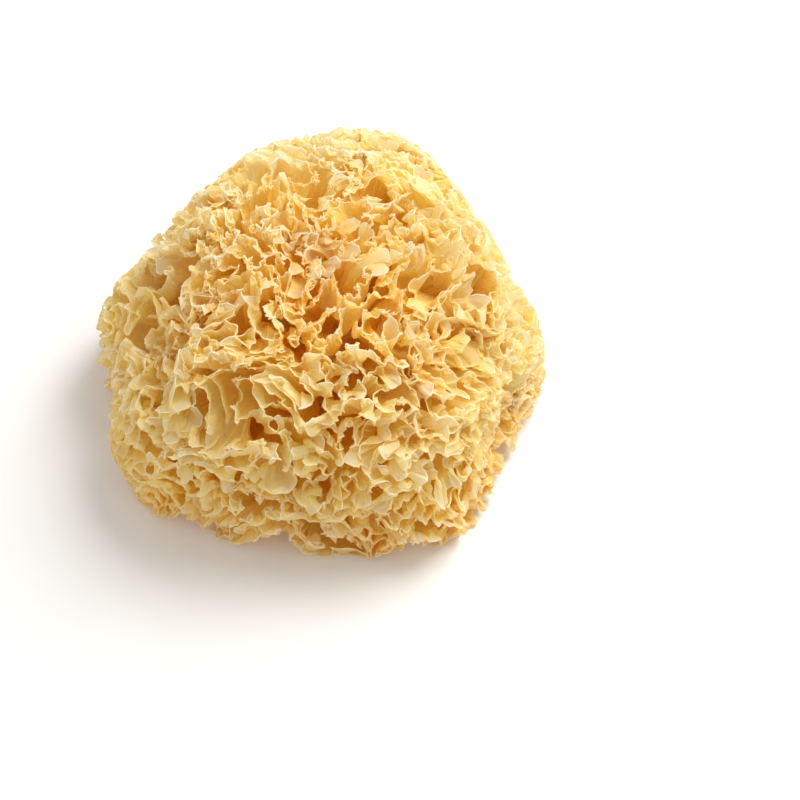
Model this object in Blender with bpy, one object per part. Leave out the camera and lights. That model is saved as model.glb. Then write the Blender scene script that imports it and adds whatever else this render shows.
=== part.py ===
"""Snow fungus: a dried rosette of thin ruffled fronds that fan out from one cut base.

Metres, +Z up. The origin is the centre of the flat cut under the base, so the fungus
rests on z = 0. The front of the rosette faces -Y.
"""

import math

import bmesh
import bpy
import numpy as np
from mathutils import Vector, noise

MM = 0.001

# The rosette's outer surface, measured from the growth centre
HALF_WIDTH = 76.4 * MM
HALF_DEPTH = 71.9 * MM
CROWN_RISE = 77.0 * MM
SQUARENESS = 2.15
GROWTH_CENTRE = np.array((0.0, 0.0, 9.0 * MM))
LOWEST_POLAR_ANGLE = math.radians(95.5)

# Broad swells and hollows of that surface: azimuth and polar angle in degrees, rise, spread in degrees
SWELLS = (
    (-95.0, 48.0, 4.0 * MM, 30.0),
    (-60.0, 82.0, 11.0 * MM, 23.0),
    (-134.0, 82.0, 10.0 * MM, 26.0),
    (-92.0, 84.0, 2.0 * MM, 22.0),
    (-30.0, 81.0, -11.0 * MM, 16.0),
    (31.0, 72.0, -20.0 * MM, 21.0),
    (62.0, 66.0, 4.0 * MM, 18.0),
    (90.0, 62.0, 4.0 * MM, 22.0),
    (140.0, 71.0, -19.5 * MM, 22.5),
    (178.0, 78.0, 4.5 * MM, 18.0),
)

# The dimple at the crown, and the valleys that run out from it between three lobes, in the same terms
VALLEYS = (
    (-100.0, 9.0, -12.0 * MM, 16.0),
    (-150.0, 34.0, -5.0 * MM, 12.0),
    (-160.0, 54.0, -5.0 * MM, 12.0),
    (60.0, 20.0, -5.0 * MM, 12.0),
    (74.0, 40.0, -3.0 * MM, 12.0),
    (-30.0, 33.0, -5.0 * MM, 11.0),
    (-20.0, 52.0, -4.0 * MM, 12.0),
)

# The base that the fronds grow from, cut flat where it left its log
BASE_RADIUS = 18.3 * MM
BASE_LUMP = 0.9 * MM
BASE_LUMP_SIZE = 9.0 * MM
BASE_SEGMENTS = 24
BASE_RINGS = 12

# The fronds: how many, how finely each is divided across its edge, and how thick it is
FROND_COUNT = 48
FROND_POINTS = 17
THICKEST = 2.2 * MM
EDGE_NOTCH = 4.0 * MM
RAGGED_SHARE = 0.5
ROOT_RADIUS = BASE_RADIUS + 0.4 * MM

# A frond's rows from its root to its edge: how much of its growth the row has had, how far it is
# from the root to the outer surface, the step between the points it uses, its share of the thickness
FROND_ROWS = (
    (0.00, 0.00, 4, 0.45),
    (0.45, 0.52, 2, 1.00),
    (0.80, 0.82, 1, 0.80),
    (1.00, 1.00, 1, 0.50),
)

# A frond's edge starts as a short wavy arc on the unit sphere, in radians
SEED_JITTER = 0.05
FIRST_LENGTH = 0.22
FIRST_WAVE = 0.03
FIRST_WAVE_COUNT = (0.8, 1.6)
FIRST_NOISE = 0.004

# It lengthens and folds until the folds of all the edges fill the sphere evenly
LAST_LENGTH = 1.20
GROWTH_STEPS = 300
GROWING_SHARE = 0.85
ROOM_BETWEEN = 0.14
CROWDING = 0.010
LARGEST_MOVE = 0.012
CELL_MARGIN = 0.024
CELL_NEIGHBOURS = 12

# What holds an edge's length, and what keeps it from kinking: the points at that many steps along
# it stay at least that many rest lengths apart, with that strength
STRETCHING = 0.40
STIFFNESS = ((2, 1.8, 0.40), (3, 2.3, 0.25))

FROND_COLOUR = (0.86, 0.66, 0.33)
BASE_COLOUR = (0.42, 0.22, 0.07)


def unit(vectors):
    """The vectors, each scaled to a length of one."""
    return vectors / np.linalg.norm(vectors, axis=-1, keepdims=True)


def direction(azimuth, polar):
    """The unit vector at an azimuth from +X and a polar angle from +Z, in radians."""
    flat = math.sin(polar)
    return np.array((flat * math.cos(azimuth), flat * math.sin(azimuth), math.cos(polar)))


def outer_radius(n):
    """Distance from the growth centre to the rosette's outer surface along unit vectors n."""
    sizes = np.array((HALF_WIDTH, HALF_DEPTH, CROWN_RISE))
    radius = (np.abs(n / sizes) ** SQUARENESS).sum(-1) ** (-1.0 / SQUARENESS)
    for azimuth, polar, rise, spread in SWELLS + VALLEYS:
        middle = direction(math.radians(azimuth), math.radians(polar))
        angle = np.arccos(np.clip(n @ middle, -1.0, 1.0))
        radius = radius + rise * np.exp(-((angle / math.radians(spread)) ** 2))
    return radius


def frond_seeds(rng):
    """Unit vectors spread evenly over the rosette by a golden-angle spiral, then nudged about."""
    turn = math.pi * (3.0 - math.sqrt(5.0))
    lowest = math.cos(LOWEST_POLAR_ANGLE)
    seeds = []
    for i in range(FROND_COUNT):
        height = 1.0 - (1.0 - lowest) * (i + 0.5) / FROND_COUNT
        seeds.append(direction(turn * i, math.acos(height)))
    seeds = np.array(seeds)
    return unit(seeds + rng.normal(0.0, SEED_JITTER, seeds.shape))


def cell_borders(seeds):
    """For each seed, the unit normals of the planes half way to its nearest neighbours, pointing to it."""
    closeness = seeds @ seeds.T
    nearest = np.argsort(-closeness, axis=1)[:, 1 : CELL_NEIGHBOURS + 1]
    return unit(seeds[:, None] - seeds[nearest])


def keep_in_cells(curves, borders, passes):
    """Moves points that have come too near the border of their seed's cell back inside it."""
    for _ in range(passes):
        inside = np.einsum("fpc,fbc->fpb", curves, borders)
        worst = inside.argmin(axis=2)
        short = np.clip(CELL_MARGIN - inside.min(axis=2), 0.0, None)
        curves = curves + short[..., None] * np.take_along_axis(borders, worst[..., None], axis=1)
        curves[..., 2] = np.maximum(curves[..., 2], math.cos(LOWEST_POLAR_ANGLE))
        curves = unit(curves)
    return curves


def first_edges(seeds, rng):
    """Short wavy arcs on the unit sphere, one through each seed, all turned differently."""
    tangents = unit(np.cross(seeds, rng.normal(size=seeds.shape)))
    sideways = np.cross(seeds, tangents)
    share = np.linspace(0.0, 1.0, FROND_POINTS)
    waves = rng.uniform(*FIRST_WAVE_COUNT, (FROND_COUNT, 1))
    phase = rng.uniform(0.0, 2.0 * math.pi, (FROND_COUNT, 1))
    wave = FIRST_WAVE * np.sin(2.0 * math.pi * waves * share + phase)
    along = (share - 0.5) * FIRST_LENGTH
    curves = seeds[:, None] + along[None, :, None] * tangents[:, None] + wave[..., None] * sideways[:, None]
    return unit(curves + rng.normal(0.0, FIRST_NOISE, curves.shape))


def crowding(curves, rest):
    """How each point moves to make room for the points of other folds, near it on the sphere."""
    flat = curves.reshape(-1, 3)
    index = np.arange(len(flat))
    frond = index // FROND_POINTS
    distance = np.sqrt(np.clip(2.0 - 2.0 * flat @ flat.T, 1e-9, None))
    push = np.clip(1.0 / distance - 1.0 / ROOM_BETWEEN, 0.0, None)
    along_edge = np.abs(index[:, None] - index) * rest
    push[(frond[:, None] == frond) & (along_edge < 1.5 * ROOM_BETWEEN)] = 0.0
    move = flat * push.sum(1, keepdims=True) - push @ flat
    return move.reshape(curves.shape)


def hold_length(curves, move, step, rest, strength, only_push):
    """Adds to move what brings points that many steps apart along an edge to their rest distance."""
    edges = curves[:, step:] - curves[:, :-step]
    length = np.linalg.norm(edges, axis=-1, keepdims=True) + 1e-9
    stretch = 1.0 - rest / length
    if only_push:
        stretch = np.minimum(stretch, 0.0)
    pull = strength * stretch * edges
    move[:, :-step] += pull
    move[:, step:] -= pull


def grow_edges(seeds, rng):
    """The frond edges as curves on the unit sphere that lengthen, fold and make room for each other.

    Returns the curves as they are for each of the frond's rows: (rows, fronds, points, 3).
    """
    borders = cell_borders(seeds)
    curves = first_edges(seeds, rng)
    states = [curves]
    row_steps = [round(row[0] * GROWTH_STEPS) for row in FROND_ROWS]
    for step in range(GROWTH_STEPS):
        grown = min(1.0, (step + 1) / (GROWING_SHARE * GROWTH_STEPS))
        rest = (FIRST_LENGTH + (LAST_LENGTH - FIRST_LENGTH) * grown) / (FROND_POINTS - 1)
        move = CROWDING * crowding(curves, rest)
        hold_length(curves, move, 1, rest, STRETCHING, only_push=False)
        for steps, share, strength in STIFFNESS:
            hold_length(curves, move, steps, share * rest, strength, only_push=True)
        size = np.linalg.norm(move, axis=-1, keepdims=True)
        move *= np.minimum(1.0, LARGEST_MOVE / (size + 1e-9))
        curves = keep_in_cells(unit(curves + move), borders, passes=2)
        if step + 1 in row_steps:
            states.append(keep_in_cells(curves, borders, passes=8))
    return np.array(states)


def edge_notches(edges, rng):
    """How far each point of the edges stops short of the outer surface: least at the turns of the folds."""
    before = unit(edges[:, 1:-1] - edges[:, :-2])
    after = unit(edges[:, 2:] - edges[:, 1:-1])
    turn = np.zeros(edges.shape[:2])
    turn[:, 1:-1] = np.clip(1.0 - (before * after).sum(-1), 0.0, 1.0)
    ragged = rng.uniform(0.0, 1.0, turn.shape)
    return EDGE_NOTCH * (RAGGED_SHARE * ragged + (1.0 - RAGGED_SHARE) * (1.0 - turn))


def material(name, colour, roughness):
    """A plain Principled material."""
    made = bpy.data.materials.new(name)
    made.use_nodes = True
    shader = made.node_tree.nodes["Principled BSDF"]
    shader.inputs["Base Color"].default_value = (*colour, 1.0)
    shader.inputs["Roughness"].default_value = roughness
    shader.inputs["Metallic"].default_value = 0.0
    return made


def link(name, mesh, finish):
    """A new object of the scene with that mesh and material."""
    mesh.materials.append(finish)
    made = bpy.data.objects.new(name, mesh)
    bpy.context.scene.collection.objects.link(made)
    return made


def row_faces(low_row, high_row):
    """Faces between two rows of vertex numbers, the upper as finely divided as the lower or twice so."""
    faces = []
    if len(low_row) == len(high_row):
        for i in range(len(low_row) - 1):
            faces.append((low_row[i], low_row[i + 1], high_row[i + 1], high_row[i]))
        return faces
    for i in range(len(low_row) - 1):
        left, middle, right = high_row[2 * i : 2 * i + 3]
        faces.append((low_row[i], low_row[i + 1], middle))
        faces.append((low_row[i], middle, left))
        faces.append((low_row[i + 1], right, middle))
    return faces


def make_frond(name, states, notches, finish):
    """One frond: a sheet from its root on the base to its ruffled edge, thickened to a solid."""
    points = []
    shares = []
    rows = []
    for state, (_, level, every, share) in zip(states, FROND_ROWS):
        chosen = state[::every]
        distance = ROOT_RADIUS + (outer_radius(chosen) - ROOT_RADIUS) * level
        distance = distance - level * notches[::every]
        rows.append(list(range(len(points), len(points) + len(chosen))))
        points.extend(chosen * distance[:, None] + GROWTH_CENTRE)
        shares.append(share)
    faces = []
    for low_row, high_row in zip(rows, rows[1:]):
        faces.extend(row_faces(low_row, high_row))
    mesh = bpy.data.meshes.new(name)
    mesh.from_pydata([tuple(point) for point in points], [], faces)
    mesh.shade_smooth()
    frond = link(name, mesh, finish)
    group = frond.vertex_groups.new(name="thickness")
    for row, share in zip(rows, shares):
        group.add(row, share, "REPLACE")
    solidify = frond.modifiers.new("Thickness", "SOLIDIFY")
    solidify.thickness = THICKEST
    solidify.offset = 0.0
    solidify.vertex_group = group.name
    return frond


def make_base(finish):
    """The tough knob under the rosette, with a lumpy skin and a flat cut underneath."""
    shape = bmesh.new()
    bmesh.ops.create_uvsphere(
        shape, u_segments=BASE_SEGMENTS, v_segments=BASE_RINGS, radius=BASE_RADIUS
    )
    for vertex in shape.verts:
        lump = noise.noise(vertex.co / BASE_LUMP_SIZE)
        vertex.co -= vertex.co.normalized() * BASE_LUMP * (0.5 + 0.5 * lump)
        vertex.co += Vector(GROWTH_CENTRE)
    everything = shape.verts[:] + shape.edges[:] + shape.faces[:]
    cut = bmesh.ops.bisect_plane(
        shape, geom=everything, plane_co=(0, 0, 0), plane_no=(0, 0, 1), clear_inner=True
    )
    rim = [item for item in cut["geom_cut"] if isinstance(item, bmesh.types.BMEdge)]
    bmesh.ops.contextual_create(shape, geom=rim)
    bmesh.ops.recalc_face_normals(shape, faces=shape.faces[:])
    mesh = bpy.data.meshes.new("base")
    shape.to_mesh(mesh)
    shape.free()
    base = link("base", mesh, finish)
    mesh.shade_smooth()
    mesh.set_sharp_from_angle(angle=math.radians(40.0))
    return base


def main():
    for old in list(bpy.data.objects):
        bpy.data.objects.remove(old)
    rng = np.random.default_rng(7)
    frond_finish = material("frond", FROND_COLOUR, 0.55)
    base_finish = material("base", BASE_COLOUR, 0.8)
    states = grow_edges(frond_seeds(rng), rng)
    notches = edge_notches(states[-1], rng)
    for i in range(FROND_COUNT):
        make_frond(f"frond_{i + 1:02d}", states[:, i], notches[i], frond_finish)
    make_base(base_finish)


main()
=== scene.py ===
"""Snow fungus: the finely ruffled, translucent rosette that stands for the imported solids."""

import math

import bpy
import numpy as np
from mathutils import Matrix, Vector, kdtree


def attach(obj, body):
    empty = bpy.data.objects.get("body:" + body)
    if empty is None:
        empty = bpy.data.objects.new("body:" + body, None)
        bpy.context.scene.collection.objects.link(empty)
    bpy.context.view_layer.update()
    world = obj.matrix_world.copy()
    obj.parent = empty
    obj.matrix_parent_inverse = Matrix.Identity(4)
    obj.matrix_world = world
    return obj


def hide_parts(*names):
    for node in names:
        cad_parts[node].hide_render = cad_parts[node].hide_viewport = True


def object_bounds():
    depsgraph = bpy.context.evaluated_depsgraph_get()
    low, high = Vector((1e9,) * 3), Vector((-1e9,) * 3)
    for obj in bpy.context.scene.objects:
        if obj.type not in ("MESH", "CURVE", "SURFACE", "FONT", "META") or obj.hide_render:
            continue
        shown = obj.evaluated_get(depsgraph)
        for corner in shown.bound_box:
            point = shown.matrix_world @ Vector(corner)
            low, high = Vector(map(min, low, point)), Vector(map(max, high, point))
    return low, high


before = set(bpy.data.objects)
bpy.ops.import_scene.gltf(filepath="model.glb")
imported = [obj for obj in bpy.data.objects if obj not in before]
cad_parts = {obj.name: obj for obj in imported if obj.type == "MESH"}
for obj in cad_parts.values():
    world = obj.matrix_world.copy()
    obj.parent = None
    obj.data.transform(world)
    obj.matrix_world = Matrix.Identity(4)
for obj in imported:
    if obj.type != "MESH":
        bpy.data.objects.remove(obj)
cad_low, cad_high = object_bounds()

MM = 0.001

# Where the random draws start, for the growth as in the solids and for all that is finer
COARSE_SEED = 7
FINE_SEED = 11

# The rosette's outer surface and base, as in the solids
HALF_WIDTH = 76.4 * MM
HALF_DEPTH = 71.9 * MM
CROWN_RISE = 77.0 * MM
SQUARENESS = 2.15
GROWTH_CENTRE = np.array((0.0, 0.0, 9.0 * MM))
LOWEST_POLAR_ANGLE = math.radians(95.5)
BASE_RADIUS = 18.3 * MM

# Broad swells and hollows of that surface: azimuth and polar angle in degrees, rise, spread in degrees
SWELLS = (
    (-95.0, 48.0, 4.0 * MM, 30.0),
    (-60.0, 82.0, 11.0 * MM, 23.0),
    (-134.0, 82.0, 10.0 * MM, 26.0),
    (-92.0, 84.0, 2.0 * MM, 22.0),
    (-30.0, 81.0, -11.0 * MM, 16.0),
    (31.0, 72.0, -20.0 * MM, 21.0),
    (62.0, 66.0, 4.0 * MM, 18.0),
    (90.0, 62.0, 4.0 * MM, 22.0),
    (140.0, 71.0, -19.5 * MM, 22.5),
    (178.0, 78.0, 4.5 * MM, 18.0),
)

# The dimple at the crown, and the valleys that run out from it between three lobes, in the same terms
VALLEYS = (
    (-100.0, 9.0, -12.0 * MM, 16.0),
    (-150.0, 34.0, -5.0 * MM, 12.0),
    (-160.0, 54.0, -5.0 * MM, 12.0),
    (60.0, 20.0, -5.0 * MM, 12.0),
    (74.0, 40.0, -3.0 * MM, 12.0),
    (-30.0, 33.0, -5.0 * MM, 11.0),
    (-20.0, 52.0, -4.0 * MM, 12.0),
)

# The growth of the fronds' edges on the unit sphere, as in the solids
FROND_COUNT = 48
FROND_POINTS = 17
SEED_JITTER = 0.05
FIRST_LENGTH = 0.22
FIRST_WAVE = 0.03
FIRST_WAVE_COUNT = (0.8, 1.6)
FIRST_NOISE = 0.004
LAST_LENGTH = 1.20
GROWTH_STEPS = 300
GROWING_SHARE = 0.85
ROOM_BETWEEN = 0.14
CROWDING = 0.010
LARGEST_MOVE = 0.012
CELL_MARGIN = 0.024
CELL_NEIGHBOURS = 12
STRETCHING = 0.40
STIFFNESS = ((2, 1.8, 0.40), (3, 2.3, 0.25))

# Then the ruffles form, and the frills on them: for each of the two growths, into how many steps one
# step of the edge before is divided, the edge's last length, the room between folds, how many rounds
# it grows for, how many stages of it shape the sheet, and in how many stretches and how unevenly it grows
FINER_GROWTHS = (
    (6, 2.5, 0.060, 200, 7, 6, 0.15),
    (3, 3.5, 0.042, 130, 5, 14, 0.40),
)
FINE_CROWDING = 0.0020
FINE_LARGEST_MOVE = 0.005
FINE_STIFFNESS = ((2, 1.9, 0.30), (4, 3.6, 0.30), (7, 5.6, 0.25))
FINE_NOISE = 0.003
LARGEST_FORCE = 200.0
PAIR_REACH = 1.45
PAIR_RENEWAL = 8
PAIR_BLOCK = 1500

# Where the ruffles are finer or broader than usual: azimuth, polar angle, change, spread in degrees
FINENESS = (
    (165.0, 34.0, -0.40, 26.0),
    (95.0, 38.0, -0.34, 24.0),
    (-60.0, 45.0, -0.20, 18.0),
    (8.0, 42.0, 0.25, 22.0),
    (-35.0, 72.0, 0.40, 26.0),
)

# The growth stages of a sheet from root to edge, and the level of each between root and outer surface
COARSE_STAGES = ((0.0, 0.0), (0.3, 0.25), (0.6, 0.47), (1.0, 0.70))
RUFFLE_LEVELS = (0.70, 0.93)
FRILL_LEVELS = (0.93, 1.0)
ROOT_RADIUS = BASE_RADIUS - 1.0 * MM

# How many random values the noise lattice has along each axis, and how far each frond's noise is shifted
LATTICE_COUNT = 32
OWN_SHIFT = np.array((0.173, 0.051, 0.097))

# The rows of a sheet, by their depth under its edge, and how many of its points each one uses
EDGE_DIVISIONS = 2
ROW_DEPTHS = (
    (0.0 * MM, 1),
    (0.4 * MM, 1),
    (0.9 * MM, 1),
    (1.6 * MM, 1),
    (2.5 * MM, 1),
    (3.6 * MM, 1),
    (4.9 * MM, 1),
    (6.4 * MM, 1),
    (8.2 * MM, 1),
    (10.5 * MM, 2),
    (13.0 * MM, 2),
    (16.0 * MM, 2),
    (20.0 * MM, 4),
    (27.0 * MM, 8),
    (36.0 * MM, 8),
    (46.0 * MM, 8),
    (60.0 * MM, 8),
)

# Horns at the turns of the folds, with the edge sagging between them: over what span a turn is read, how
# far the edge sags, how far a horn reaches along it, how far it points outward and to what depth, which
# turn makes a full horn, and from what strength a horn may meet another fold
HORN_SPAN = 3.6 * MM
HORN_SAG = 5.6 * MM
HORN_REACH = 3.2 * MM
HORN_POINT = 1.3 * MM
HORN_DEPTH = 4.0 * MM
SHARP_TURN = math.radians(130.0)
WEAKEST_PEAK = 0.3

# Smaller ups and downs of the rim: in waves of what size, by how much, and how much more where it is finer
UNEVEN = (
    (14.0 * MM, 1.1 * MM, 0.0 * MM),
    (7.0 * MM, 0.8 * MM, 0.0 * MM),
    (2.6 * MM, 0.45 * MM, 2.4 * MM),
    (1.2 * MM, 0.22 * MM, 1.6 * MM),
)

# Horns that come this near another fold's rim lean over to meet it: the reach, the breadth and depth of
# the lean, and how far along its own rim a horn looks no further
MEETING_REACH = 4.6 * MM
MEETING_SPAN = 1.8 * MM
MEETING_DEPTH = 5.0 * MM
MEETING_APART = 9.0 * MM

# How a sheet leans and bulges sideways: how far, at what depth, over what depth, and in waves of what
# size, and over which share of a wave its slope is read
LEANS = (
    (4.4 * MM, 0.0 * MM, 9.0 * MM, 28.0 * MM),
    (1.0 * MM, 0.0 * MM, 4.0 * MM, 11.0 * MM),
    (3.2 * MM, 11.0 * MM, 5.0 * MM, 20.0 * MM),
)
SLOPE_SHARE = 0.1

# How the sheets are bent all together: how far, in waves of what size, and how far the noise is shifted
WARPS = ((1.8 * MM, 26.0 * MM, 0.0), (0.9 * MM, 11.0 * MM, 0.3))
WARP_RADIUS = 45.0 * MM
WARP_START = 0.4

# A sheet's own curl, the frill of its rim and its crinkles: how far, to what depth, in waves of what size
CURL = 1.8 * MM
CURL_DEPTH = 7.0 * MM
CURL_SIZE = 12.0 * MM
FRILL = 0.22 * MM
FINE_FRILL = 3.2 * MM
FRILL_DEPTH = 2.5 * MM
FRILL_SIZE = 2.2 * MM
CRINKLE = 0.10 * MM
CRINKLE_SIZE = 3.0 * MM
CRINKLE_SHIFT = 1.3

# How softly the sheets end at the outer surface and above the floor
SOFT_LIMIT = 1.5 * MM
LOWEST_RIM = 0.6 * MM
LOWEST_BEND = 3.0 * MM

# The bead that thickens a rim, from its thinnest share to its stoutest, and how unevenly it does so
BEAD_RADIUS = 0.26 * MM
BEAD_SIDES = 4
BEAD_SHARES = (0.35, 1.0)
BEAD_UNEVEN = 0.25
BEAD_SIZE = 3.5 * MM
BEAD_SHIFT = 0.7

# Painted highlight: how far in a rim is painted pale, how far in a horn's ridge is, and how pale the rim is
# between the horns
RIM_HIGHLIGHT_WIDTH = 1.1 * MM
RIDGE_HIGHLIGHT_DEPTH = 3.5 * MM
PAINTED_RIM_HIGHLIGHT = 0.4

# Painted shade: how much deeper than it is the flesh is painted in a valley, beside the valley's own depth,
# and near the foot, where the more orange flesh is partly its own warmer tone and partly painted shade
VALLEY_PAINTED_SHADE = 1.2
FOOT_TONE_AND_SHADE = 16.0 * MM
FOOT_HEIGHT = 30.0 * MM
DEEPEST_PAINTED_SHADE = 30.0 * MM

# Painted light: where the flesh on the lit upper back and right is painted paler, as if less deep: azimuth,
# polar angle, how much less, spread in degrees
PAINTED_LIGHT_PLACES = (
    (92.0, 42.0, 5.0 * MM, 34.0),
    (15.0, 58.0, 6.0 * MM, 30.0),
)

# Painted shade: where sheets crowd together the flesh is painted deeper and more orange and its rims less
# pale: from how many square mm of sheet in each cubic mm to how many, by how much, and in how many cells of
# what size this is measured
CROWDED = (0.7, 1.4)
CROWDED_PAINTED_SHADE = 14.0 * MM
CROWDED_RIM_SHADE = 0.75
CROWD_CELL = 2.0 * MM
CROWD_COUNT = 100

# The flesh: its colour by depth under the outer surface, painted more orange further in as painted shade, in
# the warmer patches, and at the rims, painted pale there as a highlight
DEPTH_SHADE_COLOURS = (
    (0.0, (1.0, 0.92, 0.50, 1.0)),
    (0.3, (1.0, 0.88, 0.36, 1.0)),
    (1.0, (1.0, 0.755, 0.155, 1.0)),
)
WARM_COLOUR = (1.0, 0.82, 0.25, 1.0)
WARM_SCALE = 45.0
WARM_RANGE = (0.42, 0.72, 0.0, 0.55)
RIM_HIGHLIGHT_COLOUR = (1.0, 0.955, 0.83, 1.0)
FLESH_GRAIN = 450.0
FLESH_ROUGHNESS = (0.0, 1.0, 0.35, 0.62)
FLESH_BUMP = (0.4, 0.5 * MM)
LIGHT_THROUGH = 0.64

# The base: darker and harder
BASE_COLOURS = ((0.3, (0.62, 0.30, 0.07, 1.0)), (0.7, (0.92, 0.60, 0.22, 1.0)))
BASE_GRAIN = 260.0
BASE_ROUGHNESS = (0.0, 1.0, 0.5, 0.85)
BASE_BUMP = (0.7, 1.0 * MM)

# The floor and the light: each lamp's name, place, size and power
FLOOR_REACH = 2.0
FLOOR_COLOUR = (0.9, 0.89, 0.87, 1.0)
FLOOR_ROUGHNESS = 0.8
SKY_COLOUR = (1.0, 0.99, 0.97, 1.0)
SKY_STRENGTH = 0.6
LAMPS = (
    ("key", (0.45, 0.35, 0.75), 0.6, 9.2),
    ("fill", (-0.6, -0.5, 0.7), 0.8, 0.8),
)
LAMPS_AIM = (0.0, 0.0, 0.03)
BOUNCES = 15

# The camera: how steeply it looks down, its lens and distance, and how far beside and below the middle
# of the solids it aims
ELEVATION = math.radians(58.0)
LENS = 85.0
NEAREST_SEEN = 10.0 * MM
CAMERA_DISTANCE = 0.626
AIM_RIGHT = 26.394 * MM
AIM_DOWN = 30.544 * MM


def unit(vectors):
    """The vectors, each scaled to a length of one."""
    return vectors / (np.linalg.norm(vectors, axis=-1, keepdims=True) + 1e-12)


def direction(azimuth, polar):
    """The unit vector at an azimuth from +X and a polar angle from +Z, in radians."""
    flat = math.sin(polar)
    return np.array((flat * math.cos(azimuth), flat * math.sin(azimuth), math.cos(polar)))


def changes(n, places):
    """What all of the places together change along unit vectors n."""
    total = np.zeros(n.shape[:-1])
    for azimuth, polar, change, spread in places:
        middle = direction(math.radians(azimuth), math.radians(polar))
        angle = np.arccos(np.clip(n @ middle, -1.0, 1.0))
        total = total + change * np.exp(-((angle / math.radians(spread)) ** 2))
    return total


def outer_radius(n):
    """Distance from the growth centre to the rosette's outer surface along unit vectors n."""
    sizes = np.array((HALF_WIDTH, HALF_DEPTH, CROWN_RISE))
    radius = (np.abs(n / sizes) ** SQUARENESS).sum(-1) ** (-1.0 / SQUARENESS)
    return radius + changes(n, SWELLS + VALLEYS)


def fineness(n):
    """How fine the ruffles are along unit vectors n, beside 1 for the usual."""
    return 1.0 + changes(n, FINENESS)


def frond_seeds(rng):
    """Unit vectors spread evenly over the rosette by a golden-angle spiral, then nudged about."""
    turn = math.pi * (3.0 - math.sqrt(5.0))
    lowest = math.cos(LOWEST_POLAR_ANGLE)
    seeds = []
    for i in range(FROND_COUNT):
        height = 1.0 - (1.0 - lowest) * (i + 0.5) / FROND_COUNT
        seeds.append(direction(turn * i, math.acos(height)))
    seeds = np.array(seeds)
    return unit(seeds + rng.normal(0.0, SEED_JITTER, seeds.shape))


def cell_borders(seeds):
    """For each seed, the unit normals of the planes half way to its nearest neighbours, pointing to it."""
    closeness = seeds @ seeds.T
    nearest = np.argsort(-closeness, axis=1)[:, 1 : CELL_NEIGHBOURS + 1]
    return unit(seeds[:, None] - seeds[nearest])


def keep_in_cells(curves, borders, passes):
    """Moves points that have come too near the border of their seed's cell back inside it."""
    for _ in range(passes):
        inside = np.einsum("fpc,fbc->fpb", curves, borders)
        worst = inside.argmin(axis=2)
        short = np.clip(CELL_MARGIN - inside.min(axis=2), 0.0, None)
        curves = curves + short[..., None] * np.take_along_axis(borders, worst[..., None], axis=1)
        curves[..., 2] = np.maximum(curves[..., 2], math.cos(LOWEST_POLAR_ANGLE))
        curves = unit(curves)
    return curves


def first_edges(seeds, rng):
    """Short wavy arcs on the unit sphere, one through each seed, all turned differently."""
    tangents = unit(np.cross(seeds, rng.normal(size=seeds.shape)))
    sideways = np.cross(seeds, tangents)
    share = np.linspace(0.0, 1.0, FROND_POINTS)
    waves = rng.uniform(*FIRST_WAVE_COUNT, (FROND_COUNT, 1))
    phase = rng.uniform(0.0, 2.0 * math.pi, (FROND_COUNT, 1))
    wave = FIRST_WAVE * np.sin(2.0 * math.pi * waves * share + phase)
    along = (share - 0.5) * FIRST_LENGTH
    curves = seeds[:, None] + along[None, :, None] * tangents[:, None] + wave[..., None] * sideways[:, None]
    return unit(curves + rng.normal(0.0, FIRST_NOISE, curves.shape))


def crowding(curves, rest):
    """How each point moves to make room for the points of other folds, near it on the sphere."""
    flat = curves.reshape(-1, 3)
    index = np.arange(len(flat))
    frond = index // FROND_POINTS
    distance = np.sqrt(np.clip(2.0 - 2.0 * flat @ flat.T, 1e-9, None))
    push = np.clip(1.0 / distance - 1.0 / ROOM_BETWEEN, 0.0, None)
    along_edge = np.abs(index[:, None] - index) * rest
    push[(frond[:, None] == frond) & (along_edge < 1.5 * ROOM_BETWEEN)] = 0.0
    move = flat * push.sum(1, keepdims=True) - push @ flat
    return move.reshape(curves.shape)


def hold_length(curves, move, step, rest, strength, only_push):
    """Adds to move what brings points that many steps apart along an edge to their rest distance."""
    edges = curves[:, step:] - curves[:, :-step]
    length = np.linalg.norm(edges, axis=-1, keepdims=True) + 1e-9
    stretch = 1.0 - rest / length
    if only_push:
        stretch = np.minimum(stretch, 0.0)
    pull = strength * stretch * edges
    move[:, :-step] += pull
    move[:, step:] -= pull


def grow_edges(seeds, rng):
    """The frond edges as curves on the unit sphere, at each of the coarse stages."""
    borders = cell_borders(seeds)
    curves = first_edges(seeds, rng)
    states = [curves]
    row_steps = [round(row[0] * GROWTH_STEPS) for row in COARSE_STAGES]
    for step in range(GROWTH_STEPS):
        grown = min(1.0, (step + 1) / (GROWING_SHARE * GROWTH_STEPS))
        rest = (FIRST_LENGTH + (LAST_LENGTH - FIRST_LENGTH) * grown) / (FROND_POINTS - 1)
        move = CROWDING * crowding(curves, rest)
        hold_length(curves, move, 1, rest, STRETCHING, only_push=False)
        for steps, share, strength in STIFFNESS:
            hold_length(curves, move, steps, share * rest, strength, only_push=True)
        size = np.linalg.norm(move, axis=-1, keepdims=True)
        move *= np.minimum(1.0, LARGEST_MOVE / (size + 1e-9))
        curves = keep_in_cells(unit(curves + move), borders, passes=2)
        if step + 1 in row_steps:
            states.append(keep_in_cells(curves, borders, passes=8))
    return np.array(states)


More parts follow.
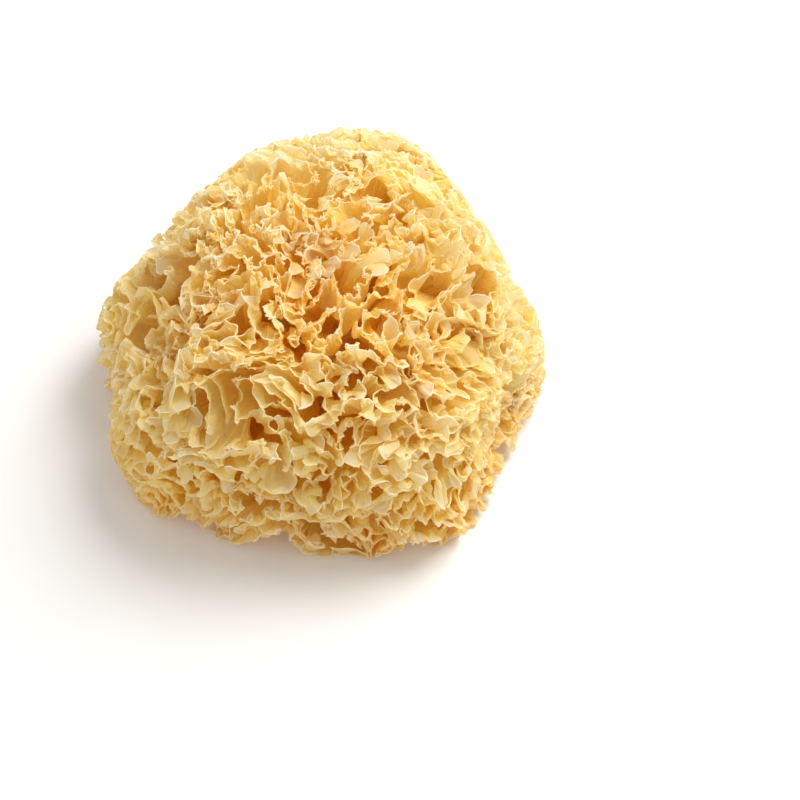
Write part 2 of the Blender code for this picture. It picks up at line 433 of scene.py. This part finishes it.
def between(points, axis, places):
    """The points at those places along the axis, which needn't be whole, on smooth lines through them."""
    points = np.moveaxis(points, axis, 0)
    before = 2.0 * points[:1] - points[1:2]
    after = 2.0 * points[-1:] - points[-2:-1]
    padded = np.concatenate((before, points, after))
    index = np.clip(np.floor(places).astype(int), 0, len(points) - 2)
    u = (places - index).reshape(-1, *[1] * (points.ndim - 1))
    a, b, c, d = (padded[index + i] for i in range(4))
    made = (
        b
        + 0.5 * u * (c - a)
        + 0.5 * u**2 * (2.0 * a - 5.0 * b + 4.0 * c - d)
        + 0.5 * u**3 * (3.0 * b - a - 3.0 * c + d)
    )
    return np.moveaxis(made, 0, axis)


def finer(points, axis, divisions):
    """The points with every step along that axis divided."""
    count = points.shape[axis]
    return between(points, axis, np.linspace(0.0, count - 1.0, (count - 1) * divisions + 1))


def noise_field(points, size, lattice):
    """Smooth random numbers or vectors at the points, from a lattice of them with that spacing."""
    place = points / size
    corner = np.floor(place).astype(int)
    share = place - corner
    share = share * share * (3.0 - 2.0 * share)
    count = len(lattice)
    total = 0.0
    for i in (0, 1):
        for j in (0, 1):
            for k in (0, 1):
                index = (corner + (i, j, k)) % count
                weight = 1.0
                for axis, far in enumerate((i, j, k)):
                    part = share[..., axis]
                    weight = weight * (part if far else 1.0 - part)
                if lattice.ndim > 3:
                    weight = weight[..., None]
                total = total + weight * lattice[index[..., 0], index[..., 1], index[..., 2]]
    return total


def near_pairs(points, curve, rest, reach):
    """Index pairs of points within reach of each other, but not near each other along one edge."""
    near = points.astype(np.float32)
    limit = 1.0 - 0.5 * reach**2
    first, second = [], []
    for start in range(0, len(points), PAIR_BLOCK):
        closeness = near[start : start + PAIR_BLOCK] @ near[start:].T
        i, j = np.nonzero(closeness > limit)
        keep = j > i
        first.append(start + i[keep])
        second.append(start + j[keep])
    first, second = np.concatenate(first), np.concatenate(second)
    along_edge = np.abs(first - second) * rest[first]
    apart = (curve[first] != curve[second]) | (along_edge > reach)
    return first[apart], second[apart]


def make_room(points, first, second, room):
    """How each point moves to make room for the near points of other folds."""
    apart = points[first] - points[second]
    distance = np.linalg.norm(apart, axis=1) + 1e-6
    free = 0.5 * (room[first] + room[second])
    force = np.clip(1.0 / distance - 1.0 / free, 0.0, LARGEST_FORCE)
    shove = FINE_CROWDING * force[:, None] * apart
    move = np.zeros_like(points)
    for axis in range(3):
        move[:, axis] += np.bincount(first, shove[:, axis], len(move))
        move[:, axis] -= np.bincount(second, shove[:, axis], len(move))
    return move


def growth_weights(count, knots, spread, rng):
    """How much faster or slower than the mean each step of the edges grows, in smooth random stretches."""
    speed = between(rng.normal(size=(FROND_COUNT, knots)), 1, np.linspace(0.0, knots - 1.0, count))
    weights = np.exp(spread * speed)
    return weights / weights.mean(axis=1, keepdims=True)


def grow_finer(curves, first_rest, last_rest, room, steps, stages):
    """Lengthens all the edges; returns them at that many stages, the first and the last among them."""
    count = curves.shape[1]
    curve = np.repeat(np.arange(len(curves)), count)
    room = room[curve]
    record_at = {round(share * steps) for share in np.linspace(0.0, 1.0, stages)}
    states = [curves]
    for step in range(steps):
        rest = first_rest + (last_rest - first_rest) * (step + 1) / steps
        if step % PAIR_RENEWAL == 0:
            mean_rest = rest.mean(axis=1)[curve]
            first, second = near_pairs(curves.reshape(-1, 3), curve, mean_rest, PAIR_REACH * room.max())
        move = make_room(curves.reshape(-1, 3), first, second, room).reshape(curves.shape)
        rest = rest[..., None]
        hold_length(curves, move, 1, rest, STRETCHING, only_push=False)
        for apart, share, strength in FINE_STIFFNESS:
            hold_length(curves, move, apart, share * rest[:, : 1 - apart], strength, only_push=True)
        size = np.linalg.norm(move, axis=-1, keepdims=True)
        curves = curves + move * np.minimum(1.0, FINE_LARGEST_MOVE / (size + 1e-9))
        curves[..., 2] = np.maximum(curves[..., 2], math.cos(LOWEST_POLAR_ANGLE))
        curves = unit(curves)
        if step + 1 in record_at:
            states.append(curves)
    return states


def add_mesh(name, vertices, faces):
    """A new mesh object of that name in the scene."""
    mesh = bpy.data.meshes.new(name)
    mesh.from_pydata(vertices, [], faces)
    made = bpy.data.objects.new(name, mesh)
    bpy.context.scene.collection.objects.link(made)
    return made


def row_faces(low_row, high_row):
    """Faces between two rows of vertex numbers, the upper as finely divided as the lower or twice so."""
    if len(low_row) == len(high_row):
        quads = np.stack((low_row[:-1], low_row[1:], high_row[1:], high_row[:-1]), axis=-1)
        return quads.tolist()
    left, middle, right = high_row[:-2:2], high_row[1:-1:2], high_row[2::2]
    low, next_low = low_row[:-1], low_row[1:]
    triangles = ((low, next_low, middle), (low, middle, left), (next_low, right, middle))
    return np.concatenate([np.stack(triangle, axis=-1) for triangle in triangles]).tolist()


def new_material(name):
    """A new material with its nodes, links and main shader, and where its patterns take their place from."""
    made = bpy.data.materials.new(name)
    made.use_nodes = True
    tree = made.node_tree
    place = tree.nodes.new("ShaderNodeTexCoord").outputs["Object"]
    return made, tree.nodes, tree.links, tree.nodes["Principled BSDF"], place


def noise_node(nodes, links, place, scale, detail):
    """What a noise of that scale gives."""
    noise = nodes.new("ShaderNodeTexNoise")
    noise.inputs["Scale"].default_value = scale
    noise.inputs["Detail"].default_value = detail
    links.new(place, noise.inputs["Vector"])
    return noise.outputs["Fac"]


def range_node(nodes, links, value, limits):
    """The value, brought from the first two limits to the last two."""
    mapped = nodes.new("ShaderNodeMapRange")
    for name, limit in zip(("From Min", "From Max", "To Min", "To Max"), limits):
        mapped.inputs[name].default_value = limit
    links.new(value, mapped.inputs["Value"])
    return mapped.outputs["Result"]


def ramp_node(nodes, links, value, colours):
    """The colour for the value, between those given at certain values."""
    ramp = nodes.new("ShaderNodeValToRGB")
    elements = ramp.color_ramp.elements
    for element, (position, colour) in zip(elements, (colours[0], colours[-1])):
        element.position = position
        element.color = colour
    for position, colour in colours[1:-1]:
        elements.new(position).color = colour
    links.new(value, ramp.inputs["Fac"])
    return ramp.outputs["Color"]


def mix_node(nodes, links, share, colour, other):
    """The colour, with a share of another one mixed in."""
    mix = nodes.new("ShaderNodeMix")
    mix.data_type = "RGBA"
    mix.inputs["B"].default_value = other
    links.new(share, mix.inputs["Factor"])
    links.new(colour, mix.inputs["A"])
    return mix.outputs["Result"]


def bump_node(nodes, links, height, strength, distance):
    """The normal of a surface with those heights."""
    bump = nodes.new("ShaderNodeBump")
    bump.inputs["Strength"].default_value = strength
    bump.inputs["Distance"].default_value = distance
    links.new(height, bump.inputs["Height"])
    return bump.outputs["Normal"]


def value_node(nodes, name):
    """The number that each point of the mesh carries by that name."""
    value = nodes.new("ShaderNodeAttribute")
    value.attribute_name = name
    return value.outputs["Fac"]


def frond_material():
    """Papery flesh that lets light through, with a painted highlight that makes the rims pale and painted
    shade that makes it more orange further in.
    """
    made, nodes, links, shader, place = new_material("frond")
    # Painted shade: the colour turns more orange the higher the depth value
    colour = ramp_node(nodes, links, value_node(nodes, "depth"), DEPTH_SHADE_COLOURS)
    patches = noise_node(nodes, links, place, WARM_SCALE, 1.0)
    share = range_node(nodes, links, patches, WARM_RANGE)
    colour = mix_node(nodes, links, share, colour, WARM_COLOUR)
    # Painted highlight: pale cream mixed in by the rim value
    colour = mix_node(nodes, links, value_node(nodes, "rim"), colour, RIM_HIGHLIGHT_COLOUR)
    grain = noise_node(nodes, links, place, FLESH_GRAIN, 0.0)
    normal = bump_node(nodes, links, grain, *FLESH_BUMP)
    links.new(range_node(nodes, links, grain, FLESH_ROUGHNESS), shader.inputs["Roughness"])
    links.new(colour, shader.inputs["Base Color"])
    links.new(normal, shader.inputs["Normal"])
    through = nodes.new("ShaderNodeBsdfTranslucent")
    links.new(colour, through.inputs["Color"])
    links.new(normal, through.inputs["Normal"])
    mix = nodes.new("ShaderNodeMixShader")
    mix.inputs["Fac"].default_value = LIGHT_THROUGH
    links.new(shader.outputs["BSDF"], mix.inputs[1])
    links.new(through.outputs["BSDF"], mix.inputs[2])
    links.new(mix.outputs["Shader"], nodes["Material Output"].inputs["Surface"])
    return made


def base_material():
    """The hard, darker foot that the fronds spring from."""
    made, nodes, links, shader, place = new_material("base")
    grain = noise_node(nodes, links, place, BASE_GRAIN, 4.0)
    links.new(ramp_node(nodes, links, grain, BASE_COLOURS), shader.inputs["Base Color"])
    links.new(range_node(nodes, links, grain, BASE_ROUGHNESS), shader.inputs["Roughness"])
    links.new(bump_node(nodes, links, grain, *BASE_BUMP), shader.inputs["Normal"])
    return made


def horns(edge, step):
    """How strongly each point of an edge stands out as a horn, 0 to 1, from how sharply it turns nearby."""
    span = round(HORN_SPAN / step)
    before = unit(edge[span:-span] - edge[: -2 * span])
    after = unit(edge[2 * span :] - edge[span:-span])
    turn = np.zeros(len(edge))
    turn[span:-span] = np.arccos(np.clip((before * after).sum(-1), -1.0, 1.0)) / SHARP_TURN
    peak = np.flatnonzero((turn[1:-1] >= turn[:-2]) & (turn[1:-1] > turn[2:])) + 1
    strength = np.clip(turn[peak], 0.0, 1.0)
    apart = np.abs(np.arange(len(edge))[:, None] - peak) * step
    return (strength * np.exp(-apart / HORN_REACH)).max(axis=1, initial=0.0), peak[strength > WEAKEST_PEAK]


def swirl(points, size, lattice):
    """A smooth random flow along the surface at the points, which crowds them nowhere."""
    slope = np.zeros(points.shape)
    for axis in range(3):
        offset = np.zeros(3)
        offset[axis] = SLOPE_SHARE * size
        ahead = noise_field(points + offset, size, lattice)
        slope[..., axis] = (ahead - noise_field(points - offset, size, lattice)) / (2.0 * SLOPE_SHARE)
    return np.cross(unit(points), slope)


def sheet_points(rows, levels, curve, lattice):
    """A sheet's points in metres from the growth centre, row by row."""
    edge = unit(rows[-1])
    outer = outer_radius(edge)
    rim = edge * outer[:, None]
    own = OWN_SHIFT * (curve + 1)
    step = np.linalg.norm(np.diff(rim, axis=0), axis=1).mean()
    horn, peaks = horns(rim, step)
    notch = HORN_SAG * (1.0 - horn)
    wispy = np.clip(fineness(edge) - 1.0, 0.0, None)
    for size, amount, more in UNEVEN:
        notch = notch + (amount + more * wispy) * noise_field(rim + own, size, lattice[..., 0])
    reach = outer - np.clip(notch, 0.0, None) - ROOT_RADIUS
    depths = np.array([depth for depth, _ in ROW_DEPTHS])
    places = np.interp(1.0 - depths / reach.mean(), levels, np.arange(len(levels)))
    directions = unit(between(rows, 0, places))
    inner = np.clip(1.0 - depths[:, None] / reach.mean(), 0.0, 1.0)
    points = directions * (ROOT_RADIUS + reach * inner)[..., None]
    turn = np.gradient(unit(np.gradient(points, axis=1)), axis=1)
    near_edge = np.exp(-depths / HORN_DEPTH)[:, None, None]
    points = points - HORN_POINT * near_edge * unit(turn) * horn[None, :, None]
    distance = np.linalg.norm(points, axis=-1, keepdims=True)
    loose = np.clip(distance / WARP_RADIUS - WARP_START, 0.0, 1.0)
    warp = sum(amount * noise_field(points + shift, size, lattice) for amount, size, shift in WARPS)
    points = points + loose * warp
    for amount, middle, breadth, size in LEANS:
        lean = swirl(directions * outer[:, None] + amount, size, lattice[..., 0])
        points = points + amount * np.exp(-(((depths - middle) / breadth) ** 2))[:, None, None] * lean
    normal = unit(np.cross(np.gradient(points, axis=1), np.gradient(points, axis=0)))
    curl = noise_field(rim + 2.0 * own, CURL_SIZE, lattice[..., 1])
    frill = noise_field(rim + 3.0 * own, FRILL_SIZE, lattice[..., 2])
    frill = frill * (FRILL + FINE_FRILL * wispy)
    crinkle = noise_field(points + CRINKLE_SHIFT, CRINKLE_SIZE, lattice[..., 0])
    points = points + normal * (
        CURL * np.exp(-depths / CURL_DEPTH)[:, None] * curl
        + np.exp(-depths / FRILL_DEPTH)[:, None] * frill
        + CRINKLE * crinkle
    )[..., None]
    return points, horn, peaks


def meet(points, peaks):
    """Draws the horns over to the nearest rims of other folds, so that folds meet in star-like points."""
    rims = points[:, 0]
    count = rims.shape[1]
    flat = rims.reshape(-1, 3)
    step = np.linalg.norm(np.diff(rims, axis=1), axis=-1).mean()
    tree = kdtree.KDTree(len(flat))
    for number, place in enumerate(flat):
        tree.insert(place, number)
    tree.balance()
    pulls = [[] for _ in rims]
    for frond, own in enumerate(peaks):
        for peak in own:
            place = rims[frond, peak]
            near = sorted(tree.find_range(place, MEETING_REACH), key=lambda found: found[2])
            for other, number, _ in near:
                far = abs(number % count - peak) * step > MEETING_APART
                if number // count != frond or far:
                    pull = 0.5 * (np.array(other) - place)
                    pulls[frond].append((peak, pull))
                    pulls[number // count].append((number % count, -pull))
                    break
    fade = np.exp(-np.array([depth for depth, _ in ROW_DEPTHS]) / MEETING_DEPTH)[:, None, None]
    for frond, found in enumerate(pulls):
        if found:
            middles = np.array([middle for middle, _ in found])
            along = (np.arange(count)[:, None] - middles) * step / MEETING_SPAN
            weights = np.exp(-(along**2))
            move = weights @ np.array([pull for _, pull in found])
            points[frond] += fade * move / np.maximum(1.0, weights.sum(axis=1, keepdims=True))
    return points


def keep_inside(points):
    """The points with those that stand out past the outer surface, or sink too low, brought softly back."""
    distance = np.linalg.norm(points, axis=-1, keepdims=True)
    n = points / distance
    limit = outer_radius(n)[..., None] - SOFT_LIMIT
    past = np.clip(distance - limit, 0.0, None)
    points = n * (np.minimum(distance, limit) + SOFT_LIMIT * np.tanh(past / (2.0 * SOFT_LIMIT)))
    above = points[..., 2] + GROWTH_CENTRE[2] - LOWEST_RIM
    slack = LOWEST_BEND - LOWEST_RIM
    bent = slack * np.exp(np.minimum(above / slack - 1.0, 0.0))
    points[..., 2] = np.where(above < slack, bent, above) + LOWEST_RIM - GROWTH_CENTRE[2]
    return points


def grow_sheets(rng, fine_rng):
    """The rows of every frond's sheet, on the unit sphere, and the level of each row."""
    seeds = frond_seeds(rng)
    coarse = grow_edges(seeds, rng)
    rows = list(coarse)
    local = fineness(seeds)
    rest = np.full((FROND_COUNT, FROND_POINTS - 1), LAST_LENGTH / (FROND_POINTS - 1))
    for divisions, length, room, steps, stages, knots, spread in FINER_GROWTHS:
        rows = [unit(finer(row, 1, divisions)) for row in rows]
        start = unit(rows[-1] + fine_rng.normal(0.0, FINE_NOISE / divisions, rows[-1].shape))
        rest = np.repeat(rest, divisions, axis=1) / divisions
        weights = growth_weights(rest.shape[1], knots, spread, fine_rng)
        last_rest = np.maximum(rest, length * local[:, None] * weights / rest.shape[1])
        grown = grow_finer(start, rest, last_rest, room / local, steps, stages)
        rows = rows + grown[1:]
        rest = last_rest
    levels = np.concatenate((
        [level for _, level in COARSE_STAGES],
        np.linspace(*RUFFLE_LEVELS, FINER_GROWTHS[0][4])[1:],
        np.linspace(*FRILL_LEVELS, FINER_GROWTHS[1][4])[1:],
    ))
    return np.array(rows), levels


def flesh_lattice(points):
    """How many square mm of sheet there are in a cubic mm, as a lattice of cells over the part."""
    patches = np.cross(np.gradient(points, axis=1), np.gradient(points, axis=2))
    area = np.linalg.norm(patches, axis=-1).ravel()
    cell = np.round(points.reshape(-1, 3) / CROWD_CELL).astype(int) % CROWD_COUNT
    number = (cell[:, 0] * CROWD_COUNT + cell[:, 1]) * CROWD_COUNT + cell[:, 2]
    total = np.bincount(number, area, CROWD_COUNT**3).reshape([CROWD_COUNT] * 3)
    for axis in range(3):
        total = 0.5 * total + 0.25 * (np.roll(total, 1, axis) + np.roll(total, -1, axis))
    return total * MM / CROWD_CELL**3


def make_fronds(finish):
    """A finely ruffled sheet in place of each of the solids' fronds."""
    fine_rng = np.random.default_rng(FINE_SEED)
    sheets, levels = grow_sheets(np.random.default_rng(COARSE_SEED), fine_rng)
    lattice = fine_rng.normal(size=(LATTICE_COUNT, LATTICE_COUNT, LATTICE_COUNT, 3))
    made = []
    for frond in range(FROND_COUNT):
        rows = unit(finer(sheets[:, frond], 1, EDGE_DIVISIONS))
        made.append(sheet_points(rows, levels, frond, lattice))
    points, horn, peaks = zip(*made)
    points = keep_inside(meet(np.array(points), peaks))
    flesh = flesh_lattice(points)
    for frond in range(FROND_COUNT):
        inside = points[frond]
        uneven = BEAD_UNEVEN * noise_field(inside[0] + BEAD_SHIFT, BEAD_SIZE, lattice[..., 0])
        make_sheet(frond, inside, np.clip(horn[frond] + uneven, 0.0, 1.0), flesh, finish)


def bead(rim, stout):
    """The points of a thin closed tube along a rim, ring by ring, wider where it is stout, 0 to 1."""
    along = unit(np.gradient(rim, axis=0))
    outward = unit(rim - along * (rim * along).sum(-1, keepdims=True))
    sideways = np.cross(along, outward)
    angles = np.arange(BEAD_SIDES) * 2.0 * math.pi / BEAD_SIDES
    around = np.cos(angles)[:, None] * outward[:, None] + np.sin(angles)[:, None] * sideways[:, None]
    thinnest, more = BEAD_SHARES
    radius = BEAD_RADIUS * (thinnest + more * stout)
    return rim[:, None] + radius[:, None, None] * around


def bead_faces(rings, first):
    """Faces of the tube with that many rings, whose points start at that number."""
    ring = first + np.arange(rings - 1)[:, None] * BEAD_SIDES
    side = np.arange(BEAD_SIDES)
    after = (side + 1) % BEAD_SIDES
    near, far = ring + side, ring + after
    quads = np.stack((near, far, far + BEAD_SIDES, near + BEAD_SIDES), axis=-1)
    ends = [(first + side)[::-1].tolist(), (first + (rings - 1) * BEAD_SIDES + side).tolist()]
    return quads.reshape(-1, 4).tolist() + ends


def add_value(mesh, name, values):
    """Stores a number for each of the mesh's points, which its material reads by that name."""
    mesh.attributes.new(name, "FLOAT", "POINT").data.foreach_set("value", values.astype(np.float32))


def make_sheet(frond, points, stout, flesh, finish):
    """One frond's sheet, with a thin bead along its rim, stout at the horns and painted pale there as a
    highlight.
    """
    vertices, faces, rims, numbers = [], [], [], []
    offset = 0
    rim_highlight = PAINTED_RIM_HIGHLIGHT + (1.0 - PAINTED_RIM_HIGHLIGHT) * stout
    for row, (depth, skip) in zip(points[::-1], ROW_DEPTHS[::-1]):
        chosen = row[::skip]
        numbers.append(np.arange(offset, offset + len(chosen)))
        offset += len(chosen)
        vertices.append(chosen)
        # Painted highlight: the rows next to the rim, and the ridges under the horns, are painted pale
        edge = math.exp(-((depth / RIM_HIGHLIGHT_WIDTH) ** 2)) * rim_highlight[::skip]
        rims.append(np.maximum(edge, math.exp(-depth / RIDGE_HIGHLIGHT_DEPTH) * stout[::skip] ** 2))
    for low_row, high_row in zip(numbers, numbers[1:]):
        faces.extend(row_faces(low_row, high_row))
    rings = bead(points[0], stout)
    faces.extend(bead_faces(len(rings), offset))
    vertices.append(rings.reshape(-1, 3))
    # The bead carries the rim's painted highlight
    rims.append(np.repeat(rim_highlight, BEAD_SIDES))
    vertices = np.concatenate(vertices)
    # Painted shade where sheets crowd together
    start, end = CROWDED
    crowded = np.clip((noise_field(vertices, CROWD_CELL, flesh) - start) / (end - start), 0.0, 1.0)
    n = unit(vertices)
    # Painted shade: how deep each point lies under the outer surface, made deeper in valleys, near the foot
    # and where sheets crowd, and less deep on the lit upper back and right as painted light
    painted_shade_depth = outer_radius(n) - np.linalg.norm(vertices, axis=-1)
    painted_shade_depth = painted_shade_depth - VALLEY_PAINTED_SHADE * changes(n, VALLEYS) - changes(n, PAINTED_LIGHT_PLACES)
    vertices = vertices + GROWTH_CENTRE
    painted_shade_depth = painted_shade_depth + FOOT_TONE_AND_SHADE * np.clip(1.0 - vertices[:, 2] / FOOT_HEIGHT, 0.0, 1.0)
    painted_shade_depth = painted_shade_depth + CROWDED_PAINTED_SHADE * crowded
    piece = add_mesh(f"ruffle_{frond + 1:02d}", vertices.tolist(), faces)
    # The depth value that the material paints as shade, more orange the deeper it is
    add_value(piece.data, "depth", np.clip(painted_shade_depth / DEEPEST_PAINTED_SHADE, 0.0, 1.0))
    # The painted rim highlight, dimmed by painted shade where sheets crowd
    add_value(piece.data, "rim", np.concatenate(rims) * (1.0 - CROWDED_RIM_SHADE * crowded))
    piece.data.materials.append(finish)
    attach(piece, "root")
    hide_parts(f"frond_{frond + 1:02d}")


def set_floor():
    """The plain pale floor that the part rests on."""
    reach = FLOOR_REACH
    corners = [(-reach, -reach, 0.0), (reach, -reach, 0.0), (reach, reach, 0.0), (-reach, reach, 0.0)]
    floor = add_mesh("floor", corners, [(0, 1, 2, 3)])
    paint = bpy.data.materials.new("floor")
    paint.use_nodes = True
    shader = paint.node_tree.nodes["Principled BSDF"]
    shader.inputs["Base Color"].default_value = FLOOR_COLOUR
    shader.inputs["Roughness"].default_value = FLOOR_ROUGHNESS
    floor.data.materials.append(paint)


def set_light():
    """A soft, even sky and two soft lamps, and enough bounces for light to pass through many sheets."""
    world = bpy.data.worlds.new("studio")
    bpy.context.scene.world = world
    world.use_nodes = True
    sky = world.node_tree.nodes["Background"]
    sky.inputs["Color"].default_value = SKY_COLOUR
    sky.inputs["Strength"].default_value = SKY_STRENGTH
    for name, place, size, power in LAMPS:
        light = bpy.data.lights.new(name, "AREA")
        light.size = size
        light.energy = power
        lamp = bpy.data.objects.new(name, light)
        lamp.location = place
        lamp.rotation_euler = (Vector(LAMPS_AIM) - Vector(place)).to_track_quat("-Z", "Y").to_euler()
        bpy.context.scene.collection.objects.link(lamp)
    bpy.context.scene.view_settings.view_transform = "Standard"
    bpy.context.scene.cycles.max_bounces = BOUNCES + 2
    bpy.context.scene.cycles.diffuse_bounces = BOUNCES
    bpy.context.scene.cycles.transmission_bounces = BOUNCES


def set_camera(low, high):
    """The camera, at the photograph's viewing angle and framing the part in the same place."""
    camera = bpy.data.cameras.new("camera")
    camera.lens = LENS
    camera.clip_start = NEAREST_SEEN
    eye = bpy.data.objects.new("camera", camera)
    bpy.context.scene.collection.objects.link(eye)
    back = Vector((0.0, -math.cos(ELEVATION), math.sin(ELEVATION)))
    right = Vector((1.0, 0.0, 0.0))
    up = Vector((0.0, math.sin(ELEVATION), math.cos(ELEVATION)))
    target = (low + high) / 2.0 + right * AIM_RIGHT - up * AIM_DOWN
    eye.location = target + back * CAMERA_DISTANCE
    eye.rotation_mode = "QUATERNION"
    eye.rotation_quaternion = (-back).to_track_quat("-Z", "Y")
    bpy.context.scene.camera = eye


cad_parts["base"].material_slots[0].material = base_material()
make_fronds(frond_material())
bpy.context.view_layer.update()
set_floor()
set_light()
set_camera(cad_low, cad_high)
